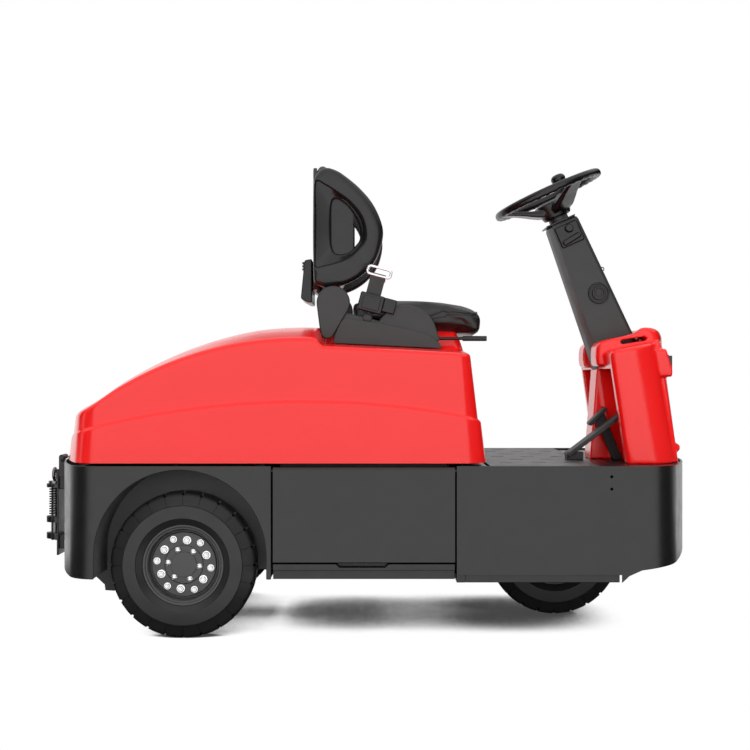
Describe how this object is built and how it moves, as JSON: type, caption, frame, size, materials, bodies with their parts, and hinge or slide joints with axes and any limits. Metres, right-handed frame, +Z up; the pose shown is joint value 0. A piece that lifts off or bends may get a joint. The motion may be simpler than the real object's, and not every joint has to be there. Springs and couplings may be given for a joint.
{
  "type": "electric baggage tug",
  "caption": "Three-wheeled ride-on electric tow tractor with tilting seat hood, side battery doors, tiller column and steering wheel, and a rear hitch with a lift pin for pulling carts.",
  "frame": {"origin": "centre of the ground footprint, on the ground under the middle of the bounding box", "axes": "+X forward (towards the front bow), +Y to the driver's left, +Z up"},
  "size_m": [2.022, 1, 1.439],
  "materials": {
    "red_paint": "gloss",
    "chassis_paint": "satin",
    "black_steel": "satin",
    "deck_rubber": "ribbed",
    "lamp_housing": "gloss",
    "column_plastic": "satin",
    "black_plastic": "matte",
    "pedal_rubber": "matte",
    "cast_housing": "painted",
    "battery_case": "satin",
    "seat_plastic": "fine grain",
    "seat_vinyl": "soft grain",
    "webbing": "woven",
    "knob_plastic": "gloss",
    "pin_steel": "worn",
    "tyre_rubber": "matte",
    "rim_paint": "satin",
    "zinc_steel": "bright zinc"
  },
  "bodies": {
    "chassis": {"main_frame": "black_steel", "rear_shell": "chassis_paint", "wheel_well_right": "black_steel", "wheel_well_left": "black_steel", "front_shell": "chassis_paint", "side_sills": "black_steel", "floor_deck": "chassis_paint", "floor_mat": "deck_rubber", "hood_hinge_bases": "black_steel", "dash_cowl": "red_paint", "headlamps": "lamp_housing", "steering_column": "column_plastic", "column_switch": "black_plastic", "accelerator_pedal": "pedal_rubber", "brake_pedal": "pedal_rubber", "hitch_bracket": "black_steel", "hitch_spring": "black_steel", "rear_axle": "cast_housing", "drive_motor": "cast_housing", "battery": "battery_case"},
    "hood": {"hood": "red_paint", "hood_hinge_leaves": "black_steel", "seat_base": "seat_plastic", "seat_cushion": "seat_vinyl", "seat_back": "seat_vinyl", "seat_wings": "seat_vinyl", "seat_shell": "seat_plastic", "seat_pivots": "seat_plastic", "back_bracket": "black_plastic", "belt_retractor": "black_plastic", "belt": "webbing", "seat_lever": "black_plastic"},
    "steering": {"steering_wheel": "black_plastic", "spinner_knob": "knob_plastic"},
    "tow_pin": {"hitch_pin": "pin_steel"},
    "rear_wheel_right": {"rear_tyre_right": "tyre_rubber", "rear_rim_right": "rim_paint", "rear_nuts_right": "zinc_steel"},
    "rear_wheel_left": {"rear_tyre_left": "tyre_rubber", "rear_rim_left": "rim_paint", "rear_nuts_left": "zinc_steel"},
    "front_fork": {"front_fork": "cast_housing"},
    "front_wheel": {"front_tyre": "tyre_rubber", "front_rim": "rim_paint", "front_nuts": "zinc_steel"},
    "door_right": {"battery_door_right": "chassis_paint"},
    "door_left": {"battery_door_left": "chassis_paint"}
  },
  "joints": [
    {"name": "hood_tilt", "type": "hinge", "parent": "chassis", "child": "hood", "pos_m": [-0.928, 0, 0.508], "axis": [0, -1, 0], "range_deg": [0, 60]},
    {"name": "door_right_swing", "type": "hinge", "parent": "chassis", "child": "door_right", "pos_m": [0, -0.489, 0.489], "axis": [-1, 0, 0], "range_deg": [0, 80]},
    {"name": "door_left_swing", "type": "hinge", "parent": "chassis", "child": "door_left", "pos_m": [0, 0.489, 0.489], "axis": [1, 0, 0], "range_deg": [0, 80]},
    {"name": "rear_right_spin", "type": "hinge", "parent": "chassis", "child": "rear_wheel_right", "pos_m": [-0.507, -0.395, 0.212], "axis": [0, 1, 0], "continuous": true},
    {"name": "rear_left_spin", "type": "hinge", "parent": "chassis", "child": "rear_wheel_left", "pos_m": [-0.507, 0.395, 0.212], "axis": [0, 1, 0], "continuous": true},
    {"name": "fork_steer", "type": "hinge", "parent": "chassis", "child": "front_fork", "pos_m": [0.623, 0, 0.45], "axis": [0, 0, 1], "range_deg": [-75, 75]},
    {"name": "front_spin", "type": "hinge", "parent": "front_fork", "child": "front_wheel", "pos_m": [0.623, 0, 0.212], "axis": [0, 1, 0], "continuous": true},
    {"name": "wheel_turn", "type": "hinge", "parent": "chassis", "child": "steering", "pos_m": [0.811, 0, 0.884], "axis": [-0.4035, 0, 0.915], "range_deg": [-900, 900]},
    {"name": "pin_lift", "type": "slide", "parent": "chassis", "child": "tow_pin", "axis": [0, 0, 1], "range_m": [0, 0.062], "deforming": ["hitch_spring"]}
  ],
  "couplings": [
    {"joint": "wheel_turn", "follows": "fork_steer", "ratio": 12}
  ]
}
